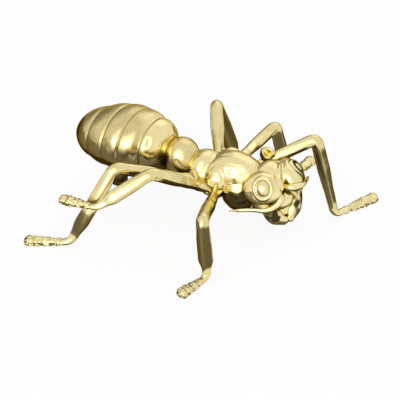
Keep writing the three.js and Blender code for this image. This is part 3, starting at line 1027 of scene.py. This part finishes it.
head_swellings = [SKULL]
for brow, aim in ((right_brow, right_eye_aim), (left_brow, left_eye_aim)):
    head_swellings.append((brow + aim * (brow_radius - BROW_HALF[2]), BROW_HALF, aim))
head_swellings += [FOREHEAD, MUZZLE, CHIN, RIGHT_CHEEK, LEFT_CHEEK, LIP]
head_corners, head_faces = swollen_body("head", head_swellings, head_frame, HEAD_SMOOTHING)
print(len(head_swellings), "swellings make a head of", len(head_faces), "faces")

# %% [markdown]
# ## Crest of the head
#
# A thin rib runs from the back of the skull between the brows to the face, with a shallow groove on
# both sides. A separate rod would stand on the skull like a wire, so the rib is a relief: the skull
# rises near a line through a few points, and the distance to that line is measured along the skull.

# %% Crest of the head
crest_route = [Vector(point) for point in (
    (-0.7, 2.9, 4.6), (0.1, 2.4, 4.6), (0.8, 1.6, 4.5), (1.4, 1.0, 4.2), (2.1, 0.4, 3.5),
    (2.7, -0.1, 2.8), (3.4, -0.2, 2.0), (3.8, 0, 1.0), (3.9, 0.4, -0.2))]
CREST_RISE = 0.3
CREST_HALF_WIDTH = 0.34
CREST_GROOVE = 0.16
CREST_GROOVE_AWAY = 0.72
HEIGHT_LEFT_OUT = 0.8
HEAD_SATIN_AND_SHADE = 0.0
from_head = head_frame.inverted()


def distance_to_route(place, route):
    """Shortest way along the skull from a place to a line through points."""
    outward = place.normalized()
    shortest = math.inf
    for start, end in zip(route, route[1:]):
        along = end - start
        share = min(max((place - start).dot(along) / along.length_squared, 0), 1)
        gap = place - start - along * share
        shortest = min(shortest, (gap - outward * (HEIGHT_LEFT_OUT * gap.dot(outward))).length)
    return shortest


def head_relief(place):
    """Height of the rib, less the groove on both of its sides."""
    away = distance_to_route(from_head @ place, crest_route)
    rib = CREST_RISE * math.exp(-(away / CREST_HALF_WIDTH) ** 2)
    return rib - CREST_GROOVE * math.exp(-((away - CREST_GROOVE_AWAY) / CREST_HALF_WIDTH) ** 2)


add_piece("head", head_corners, head_faces, relief=head_relief, satin=HEAD_SATIN_AND_SHADE)

# %% [markdown]
# ## Profile of an eye
#
# Each eye is turned work: a dome inside a raised ring, let into the brow. A row of rings on one axis is
# a lathe, and the profile runs from the skirt in the brow, over the ring and its groove, to the top of
# the dome.

# %% Profile of an eye
EYE_RING = 2.2
EYE_RING_THICK = 0.45
EYE_RING_STEPS = 12
EYE_GROOVE = 1.6
EYE_DOME_RISE = 0.5
EYE_DOME_STEPS = 15
EYE_SKIRT = 0.7
EYE_SUNK = 0.14


def eye_profile():
    """Radius and height over the brow, from the skirt to the dome."""
    profile = [(EYE_RING + EYE_RING_THICK, -EYE_SKIRT)]
    for k in range(EYE_RING_STEPS + 1):
        turn = math.pi * k / EYE_RING_STEPS
        height = EYE_RING_THICK * math.sin(turn) - EYE_SUNK
        profile.append((EYE_RING + EYE_RING_THICK * math.cos(turn), height))
    for k in range(1, EYE_DOME_STEPS):
        turn = math.pi / 2 * k / EYE_DOME_STEPS
        height = (EYE_DOME_RISE + EYE_SUNK) * math.sin(turn) - EYE_SUNK
        profile.append((EYE_GROOVE * math.cos(turn), height))
    return profile


print("The profile of an eye has", len(eye_profile()), "points")

# %% [markdown]
# ## Two eyes
#
# A flat lathe piece would stick out of the round brow, so each ring bows down with the brow's own
# curve. The eye is taller than it is wide, its dome is shifted a little, and its groove is darker. The
# left eye looks away from the lamps and is painted in shade all over.

# %% Two eyes
EYE_TALL = 1.06
EYE_WIDE = 0.86
EYE_SHIFT = 0.25
EYE_SIDES = 64
EYE_WAVES = 1.2
EYE_GROOVE_DARK = 1.0
EYE_GROOVE_WIDE = 0.35


def make_eye(name, brow, aim, lift, dark):
    to_aim = head_frame.to_3x3() @ aim.to_track_quat("Z", "Y").to_matrix()
    top = head_frame @ (brow + aim * (brow_radius + lift))
    rows = []
    darks = []
    for radius, rise in eye_profile():
        middle = FORWARD * (EYE_SHIFT * soft((EYE_RING - radius) / EYE_RING))
        flat = ring(middle, LEFT, -FORWARD, radius * EYE_TALL, radius * EYE_WIDE, EYE_SIDES)
        points = []
        for beside, above, _ in flat:
            edge = (beside / BROW_HALF[0]) ** 2 + (above / BROW_HALF[1]) ** 2
            brow_fall = BROW_HALF[2] * (1 - math.sqrt(max(1 - edge, 0)))
            points.append(top + to_aim @ Vector((beside, above, rise - brow_fall)))
        rows.append(points)
        near_groove = soft(1 - abs(radius - EYE_GROOVE) / EYE_GROOVE_WIDE)
        darks += [dark + EYE_GROOVE_DARK * near_groove] * EYE_SIDES
    return add_piece(name, *skin(rows), dark=darks + [dark, dark], waves=EYE_WAVES)


make_eye("right_eye", right_brow, right_eye_aim, lift=0.0, dark=0.0)
# The left eye, turned away from the lamps, is painted in shade.
make_eye("left_eye", left_brow, left_eye_aim, lift=0.05, dark=1.2)

# %% [markdown]
# ## Rods along a curve
#
# Feelers and jaws are bent rods. Each runs on a smooth curve that passes through a few points chosen in
# the head's own frame, so a point can be moved without upsetting the rest. A Blender curve would give
# the rod one round section, while rings can be flat and taper as they like.

# %% Rods along a curve
NEXT_TO = 0.01
to_face = (head_frame.to_3x3() @ FORWARD).normalized()


def curve_point(points, share):
    """A point on the smooth curve through all the points."""
    place = min(share * (len(points) - 1), len(points) - 1 - NEARLY)
    k = int(place)
    s = place - k
    p1, p2 = points[k], points[k + 1]
    p0 = points[k - 1] if k > 0 else p1 * 2 - p2
    p3 = points[k + 2] if k + 2 < len(points) else p2 * 2 - p1
    return ((p1 * 2) + (p2 - p0) * s + (p0 * 2 - p1 * 5 + p2 * 4 - p3) * s ** 2
            + (p1 * 3 - p0 - p2 * 3 + p3) * s ** 3) / 2


def rod_skin(route, half_widths, half_depths, steps, sides, power):
    """Corners and faces of a rod along a route in the head's own frame, deep towards the face."""
    points = [head_frame @ Vector(point) for point in route]
    rows = []
    for k in range(steps + 1):
        share = k / steps
        ahead = curve_point(points, min(share + NEXT_TO, 1))
        along = (ahead - curve_point(points, max(share - NEXT_TO, 0))).normalized()
        across = (to_face - along * to_face.dot(along)).normalized()
        at = curve_point(points, share)
        deep = width_at(half_depths, share)
        wide = width_at(half_widths, share)
        rows.append(ring(at, across, along.cross(across), deep, wide, sides, power))
    return skin(rows)


print("The face looks along", [round(part, 2) for part in to_face])

# %% [markdown]
# ## Antennae
#
# The feelers leave the face between the brows and lie round the cheeks as thin tapered rods, partly
# sunk in the casting. They are cast thin or bent from wire, so they are round, and taper most near the
# tip.

# %% Antennae
antenna_routes = {
    "right_antenna": [(2.6, -0.6, -0.1), (4.4, -1.2, -1), (4.5, -2.6, -2.2),
                      (3.7, -4.6, -2.9), (1.5, -6.8, -3.1), (-1.5, -10.3, -3.6)],
    "left_antenna": [(2.6, 0.6, 0), (4.6, 1.2, 0.8), (5.0, 2.4, 0.7),
                     (4.5, 4.2, 0.1), (2.8, 6.5, -1.0), (-0.8, 9.8, -3.8)],
}
ANTENNA_RADII = ((0, 0.8), (0.5, 0.75), (0.9, 0.42), (1, 0.1))
ANTENNA_RINGS = 96
ANTENNA_SIDES = 24
ANTENNA_WAVES = 0.4

for antenna_name, antenna_route in antenna_routes.items():
    corners, faces = rod_skin(antenna_route, ANTENNA_RADII, ANTENNA_RADII,
                              ANTENNA_RINGS, ANTENNA_SIDES, ROUND_POWER)
    add_piece(antenna_name, corners, faces, waves=ANTENNA_WAVES)

# %% [markdown]
# ## Jaws
#
# The jaws are broader and close under the face. One route serves both, mirrored for the right one.
# Their tips stay bright, and towards their roots they are painted in shade, mottled by a noise.

# %% Jaws
jaw_route = [(0.8, 2.6, -1.7), (2.8, 3.6, -2.8), (3.7, 2.9, -4.9), (4.4, 1.6, -6.4), (5.2, 0.1, -7.3)]
JAW_HALF_WIDTHS = ((0, 1.2), (0.25, 1.6), (0.6, 1.7), (0.93, 1.0), (1, 0.4))
JAW_HALF_DEPTHS = ((0, 1.0), (0.25, 1.4), (0.6, 1.4), (0.93, 0.8), (1, 0.3))
JAW_RINGS = 48
JAW_SIDES = 32
JAW_POWER = 1.6
JAW_WAVES = 0.8
JAW_TIP_UNSHADED = 0.9
JAW_TIP_FADE = 2.2
JAW_MOTTLE = 1.1
JAW_MOTTLE_DEPTH = 1.3


def jaw_shade_and_mottle(corner):
    """Share of the jaw's painted shade at a corner: mottled, and fading out towards the tips."""
    aside = abs((from_head @ corner).y)
    mottle = JAW_MOTTLE_DEPTH * noise.noise(corner / JAW_MOTTLE)
    return soft((aside - JAW_TIP_UNSHADED) / JAW_TIP_FADE) + mottle


def make_jaw(name, side, dark):
    route = [(x, side * y, z) for x, y, z in jaw_route]
    corners, faces = rod_skin(route, JAW_HALF_WIDTHS, JAW_HALF_DEPTHS, JAW_RINGS, JAW_SIDES, JAW_POWER)
    darks = [dark * jaw_shade_and_mottle(corner) for corner in corners]
    return add_piece(name, corners, faces, dark=darks, waves=JAW_WAVES)


# The jaws are painted in shade, the right one more deeply.
make_jaw("right_mandible", side=-1, dark=1.6)
make_jaw("left_mandible", side=1, dark=1.1)

# %% [markdown]
# ## Riding on the frame
#
# Nothing on this ant moves, so every piece rides on the one body and stands for the solid of the same
# name. The two pins stay as they are, hidden inside.

# %% Pieces ride on the frame
for piece_name, piece in pieces.items():
    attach(piece, "root")
    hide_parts(piece_name)
print(len(pieces), "pieces ride on the frame")

# %% [markdown]
# ## Sockets as numbers
#
# A material is a network of nodes. Wrapping a socket in a small class lets the network be written as an
# expression: `1 - mask * 0.5` adds the Math nodes that it needs. Placing them by hand would hide the
# formula.

# %% Sockets as numbers
class Socket:
    """One output of a node, with arithmetic that adds Math nodes."""

    def __init__(self, shader, output):
        self.shader = shader
        self.output = output

    def math_node(self, operation, first, second, clamp=False):
        settings = {"operation": operation, "use_clamp": clamp}
        return self.shader.node("ShaderNodeMath", settings, {0: first, 1: second})

    def __add__(self, other):
        return self.math_node("ADD", self, other)

    def __radd__(self, other):
        return self.math_node("ADD", other, self)

    def __sub__(self, other):
        return self.math_node("SUBTRACT", self, other)

    def __rsub__(self, other):
        return self.math_node("SUBTRACT", other, self)

    def __mul__(self, other):
        return self.math_node("MULTIPLY", self, other)

    def __rmul__(self, other):
        return self.math_node("MULTIPLY", other, self)

    def clamped(self):
        """The same value, kept between 0 and 1."""
        return self.math_node("ADD", self, 0.0, clamp=True)


print("Reflected operators:", [name for name in vars(Socket) if name.startswith("__r")])

# %% [markdown]
# ## Nodes of a material
#
# Every node comes from one method, which sets the node's settings first and then its sockets, by value
# or by link. A few short methods name the nodes that are used often: mixing two colours, a soft step, a
# noise and how far a direction agrees with another.

# %% Nodes of a material
class Shader:
    """The node tree of a material or of the world."""

    def __init__(self, tree):
        self.tree = tree
        tree.nodes.clear()

    def node(self, kind, settings=None, inputs=None, output=0):
        """Adds a node, sets its settings, then its sockets by value or link."""
        made = self.tree.nodes.new(kind)
        for name, value in (settings or {}).items():
            if name == "stops":
                for element, (place, colour) in zip(made.color_ramp.elements, value):
                    element.position = place
                    element.color = colour
            else:
                setattr(made, name, value)
        for name, value in (inputs or {}).items():
            if isinstance(value, Socket):
                self.tree.links.new(value.output, made.inputs[name])
            else:
                made.inputs[name].default_value = value
        return Socket(self, made.outputs[output]) if made.outputs else None

    def mix(self, share, first, second):
        """A colour between two colours."""
        inputs = {0: share, 6: first, 7: second}
        return self.node("ShaderNodeMix", {"data_type": "RGBA"}, inputs, output=2)

    def ramp(self, value, low, high):
        """0 below low and 1 above high, softly between."""
        inputs = {"Value": value, "From Min": low, "From Max": high}
        return self.node("ShaderNodeMapRange", {"interpolation_type": "SMOOTHSTEP"}, inputs)

    def noise(self, place, scale, detail):
        """A cloudy value at a place, the same on every run."""
        return self.node("ShaderNodeTexNoise", inputs={"Vector": place, "Scale": scale, "Detail": detail})

    def agreement(self, way, other):
        """1 where a direction points along another one, and -1 where it points against it."""
        settings = {"operation": "DOT_PRODUCT"}
        return self.node("ShaderNodeVectorMath", settings, {0: way, 1: other}, "Value")


def new_material(name):
    material = bpy.data.materials.new(name)
    material.use_nodes = True
    return material, Shader(material.node_tree)


print("A shader can add:", [name for name in vars(Shader) if not name.startswith("_")])

# %% [markdown]
# ## Colours of the brass
#
# New brass is pale and clouds over to a warmer tone. Satin places are painted a duller tan, seams are
# painted a deeper gold, and painted shade goes from brown to nearly black. Metal has no colour of its
# own under its gloss, so these are the colours of its reflections, straight on, and the edge colour is
# what a grazing look shows.

# %% Colours of the brass
PALE_BRASS = (0.95, 0.84, 0.46, 1)
WARM_BRASS = (0.80, 0.64, 0.27, 1)
# Painted shade: the duller tan of satin places.
SATIN_SHADE_BRASS = (0.55, 0.43, 0.18, 1)
# Painted reflection: the deeper gold of light bounced about in seams and crevices.
CREVICE_REFLECTION_BRASS = (0.92, 0.74, 0.24, 1)
# Painted shade, from brown down to nearly black.
SHADED_BRASS = (0.185, 0.146, 0.056, 1)
DEEP_SHADE_BRASS = (0.06, 0.045, 0.018, 1)
EDGE_BRASS = (0.42, 0.33, 0.14, 1)
print("Pale brass reflects", PALE_BRASS[:3], "and soot", DEEP_SHADE_BRASS[:3])

# %% [markdown]
# ## Polished brass
#
# The castings are painted bright where they face upwards and painted in shade where they turn down or
# away: under the body and on the shins, and the seams are painted a deeper gold. So the colour follows
# three things on the surface: which way it faces, how deep it lies among its neighbours, and the shares
# of painted shade and satin kept on each corner. Noise breaks the edges, and fine scratches run through
# the gloss. A painted picture could do this too, but only for one shape.

# %% Polished brass
# Faces turned towards this side are painted bright, and faces turned away are painted in shade.
PAINTED_LIGHT_SIDE = (0.38, -0.06, 0.92)
CLOUD_SCALE = 380.0
SPECK_SCALE = 2600.0
SCRATCH_STRETCH = (900, 5200, 900)
SEAM_REACH = 0.0022
DARK_BELOW = 0.02
BRIGHT_ABOVE = 0.36
SEAM_BELOW = 0.25
OPEN_ABOVE = 0.80


def polished_brass():
    material, shader = new_material("polished_brass")
    place = shader.node("ShaderNodeTexCoord", output="Object")
    upward = shader.agreement(shader.node("ShaderNodeNewGeometry", output="Normal"), PAINTED_LIGHT_SIDE)
    painted_shade_share = shader.node("ShaderNodeAttribute", {"attribute_name": "dark"}, output="Fac")
    satin = shader.node("ShaderNodeAttribute", {"attribute_name": "satin"}, output="Fac")
    cloud = shader.noise(place, CLOUD_SCALE, 4.0)
    speck = shader.noise(place, SPECK_SCALE, 3.0)
    stretched = shader.node("ShaderNodeMapping", inputs={"Vector": place, "Scale": SCRATCH_STRETCH})
    scratch = shader.noise(stretched, 1.0, 2.0)
    open_sky = shader.node("ShaderNodeAmbientOcclusion", {"samples": 8}, {"Distance": SEAM_REACH}, "AO")

    # Painted shade: darker where the surface turns from the painted light side, more where a corner's
    # dark share is high.
    height = upward - painted_shade_share * 0.5 + (cloud - 0.5) * 0.5 + (speck - 0.5) * 0.12
    shade = 1 - shader.ramp(height, DARK_BELOW, BRIGHT_ABOVE)
    # Painted reflection: enclosed seams and crevices are painted a deeper gold, and they are also
    # rougher.
    crevice_reflection = 1 - shader.ramp(open_sky + (speck - 0.5) * 0.2, SEAM_BELOW, OPEN_ABOVE)

    tone = shader.mix((cloud * 1.2 - 0.3).clamped(), PALE_BRASS, WARM_BRASS)
    # Satin makes a place rougher and paints it a duller tan, as shade.
    tone = shader.mix((satin * 0.9 + cloud * 0.6 - 0.5).clamped(), tone, SATIN_SHADE_BRASS)
    tone = shader.mix((crevice_reflection * 0.85).clamped(), tone, CREVICE_REFLECTION_BRASS)
    # Painted shade, deepest where a corner's dark share is above 1.
    tone = shader.mix(shade, tone, SHADED_BRASS)
    tone = shader.mix((shade * (painted_shade_share - 1) * 2).clamped(), tone, DEEP_SHADE_BRASS)
    rough = 0.06 + satin * 0.10 + cloud * 0.10 + scratch * 0.08 + shade * 0.12 + crevice_reflection * 0.08
    bump = shader.node("ShaderNodeBump", inputs={
        "Strength": 0.06, "Distance": 0.0004, "Height": scratch * 0.6 + speck * 0.4})
    surface = shader.node("ShaderNodeBsdfPrincipled", inputs={
        "Base Color": tone, "Roughness": rough, "Metallic": 1.0, "Specular Tint": EDGE_BRASS,
        "Normal": bump})
    shader.node("ShaderNodeOutputMaterial", inputs={"Surface": surface})
    return material


brass = polished_brass()
for piece in pieces.values():
    piece.data.materials.append(brass)
print("The polished brass has", len(brass.node_tree.nodes), "nodes")

# %% [markdown]
# ## Plain rod
#
# The pins are drawn rod, never polished. They keep their solids, with a dull brass that shows the
# drawing marks. Nobody sees them, so a single noise is enough.

# %% Plain brass on the pins
DULL_ROD = (0.36, 0.26, 0.09, 1)
CLEAN_ROD = (0.5, 0.38, 0.16, 1)
MARK_SCALE = 1500.0


def plain_brass():
    material, shader = new_material("plain_brass")
    place = shader.node("ShaderNodeTexCoord", output="Object")
    marks = shader.noise(place, MARK_SCALE, 3.0)
    tone = shader.mix(marks, DULL_ROD, CLEAN_ROD)
    surface = shader.node("ShaderNodeBsdfPrincipled", inputs={
        "Base Color": tone, "Roughness": 0.3 + marks * 0.2, "Metallic": 1.0})
    shader.node("ShaderNodeOutputMaterial", inputs={"Surface": surface})
    return material


rod_brass = plain_brass()
for pin_name in ("waist_pin", "neck_pin"):
    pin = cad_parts[pin_name]
    pin.data.materials.clear()
    pin.data.materials.append(rod_brass)
    print(pin_name, "is", rod_brass.name)

# %% [markdown]
# ## Floor
#
# The ornament stands on white paper. What the camera and the brass see of it is mostly its own white,
# and the rest is lit, so it keeps a faint shadow. A lit floor alone would turn grey away from the
# lamps.

# %% Floor
FLOOR_HALF = 1.6
FLOOR_WHITE = 0.9
PAPER_SCALE = 300.0
PAPER_TONES = (0.86, 0.9)


def grey(tone):
    return (tone, tone, tone, 1)


def floor_paper():
    material, shader = new_material("floor_paper")
    place = shader.node("ShaderNodeTexCoord", output="Object")
    grain = shader.noise(place, PAPER_SCALE, 3.0)
    tone = shader.mix(grain, *[grey(tone) for tone in PAPER_TONES])
    paper = shader.node("ShaderNodeBsdfDiffuse", inputs={"Color": tone})
    white = shader.node("ShaderNodeEmission", inputs={"Color": grey(1), "Strength": 1.0})
    seen = [shader.node("ShaderNodeLightPath", output=ray)
            for ray in ("Is Camera Ray", "Is Glossy Ray", "Is Transmission Ray")]
    share = ((seen[0] + seen[1] + seen[2]) * FLOOR_WHITE).clamped()
    surface = shader.node("ShaderNodeMixShader", inputs={0: share, 1: paper, 2: white})
    shader.node("ShaderNodeOutputMaterial", inputs={"Surface": surface})
    return material


floor_mesh = bpy.data.meshes.new("floor")
floor_corners = [(x * FLOOR_HALF, y * FLOOR_HALF, 0) for x, y in ((-1, -1), (1, -1), (1, 1), (-1, 1))]
floor_mesh.from_pydata(floor_corners, [], [(0, 1, 2, 3)])
floor_mesh.materials.append(floor_paper())
floor = bpy.data.objects.new("floor", floor_mesh)
bpy.context.scene.collection.objects.link(floor)
print("The floor is", 2 * FLOOR_HALF, "m wide")

# %% [markdown]
# ## Lamps
#
# Polished metal shows its surroundings, so broad soft lamps draw broad soft highlights. A wide one
# stands on the camera's side, a smaller one beside it gives the sharper glints, and a weak one opposite
# lights the back.

# %% Lamps
focus = (Vector((0, 0, 12.5)) + ant_origin) * MM


def direction(azimuth, elevation):
    """From the ant towards a place round it; azimuth 0 is in front of its right side."""
    level = math.cos(elevation)
    return Vector((math.sin(azimuth) * level, -math.cos(azimuth) * level, math.sin(elevation)))


def soft_light(name, azimuth, elevation, distance, size, watts):
    """A round lamp that looks at the ant, placed by angles in degrees and a distance in metres."""
    data = bpy.data.lights.new(name, "AREA")
    data.shape = "DISK"
    data.size = size
    data.energy = watts
    light = bpy.data.objects.new(name, data)
    towards = direction(math.radians(azimuth), math.radians(elevation))
    light.location = focus + towards * distance
    light.rotation_euler = towards.to_track_quat("Z", "Y").to_euler()
    light.visible_camera = False
    bpy.context.scene.collection.objects.link(light)
    print(name, "is", size, "m wide and gives", watts, "W")


soft_light("wide_front_light", azimuth=4, elevation=28, distance=1.2, size=1.5, watts=4.1)
soft_light("small_front_light", azimuth=-8, elevation=20, distance=1.2, size=0.6, watts=2.4)
soft_light("back_light", azimuth=178, elevation=42, distance=1.2, size=1.1, watts=0.7)

# %% [markdown]
# ## Studio walls
#
# The world stands for pale walls that fill the shadows. One side is dim, as an open door would be, and
# the brass needs it: flanks that mirror it turn dark, and the body looks round.

# %% Studio walls
WALL_PALE = 0.91
WALL_DIM = 0.28
PALE_UP_TO = 0.76
DIM_FROM = 0.98
DIM_AZIMUTH = math.radians(-123)
DIM_ELEVATION = math.radians(8)

world = bpy.data.worlds.new("studio")
bpy.context.scene.world = world
world.use_nodes = True
walls = Shader(world.node_tree)
wall_way = walls.node("ShaderNodeTexCoord", output="Generated")
dim_side = walls.agreement(wall_way, direction(DIM_AZIMUTH, DIM_ELEVATION))
wall_stops = [(PALE_UP_TO, grey(WALL_PALE)), (DIM_FROM, grey(WALL_DIM))]
wall_tone = walls.node("ShaderNodeValToRGB", {"stops": wall_stops}, {0: dim_side})
wall_light = walls.node("ShaderNodeBackground", inputs={"Color": wall_tone})
walls.node("ShaderNodeOutputWorld", inputs={"Surface": wall_light})
print("The walls go from", WALL_PALE, "to", WALL_DIM)

# %% [markdown]
# ## Camera
#
# The camera stands where the photographer stood: at the ant's right side, a little towards its head and
# well above it. A long lens keeps the near foot in proportion. The lens isn't shifted: the camera turns
# a little, so that the focus comes to lie on its own pixel of the picture.

# %% Camera
CAMERA_AZIMUTH = math.radians(22)
CAMERA_ELEVATION = math.radians(36)
CAMERA_DISTANCE = 420.0
PICTURE = 400.0
FOCAL_PIXELS = 2000.0
FOCUS_PIXEL = (228.0, 172.0)

camera_data = bpy.data.cameras.new("camera")
camera_data.sensor_width = 36.0
camera_data.lens = FOCAL_PIXELS / PICTURE * camera_data.sensor_width
camera_data.clip_start = 0.01
camera_data.clip_end = 10.0
camera = bpy.data.objects.new("camera", camera_data)
bpy.context.scene.collection.objects.link(camera)
to_camera = direction(CAMERA_AZIMUTH, CAMERA_ELEVATION)
level = to_camera.to_track_quat("Z", "Y")
pixel = CAMERA_DISTANCE * MM / FOCAL_PIXELS
aside = level @ Vector((PICTURE / 2 - FOCUS_PIXEL[0], FOCUS_PIXEL[1] - PICTURE / 2, 0)) * pixel
camera.location = focus + to_camera * CAMERA_DISTANCE * MM
camera.rotation_euler = (camera.location - focus - aside).to_track_quat("Z", "Y").to_euler()
bpy.context.scene.camera = camera
bpy.context.scene.view_settings.view_transform = "Standard"
print("Camera at", [round(value, 4) for value in camera.location])

# %% [markdown]
# ## Check the size and finish
# The dressed ant must fill the same box as its solids.
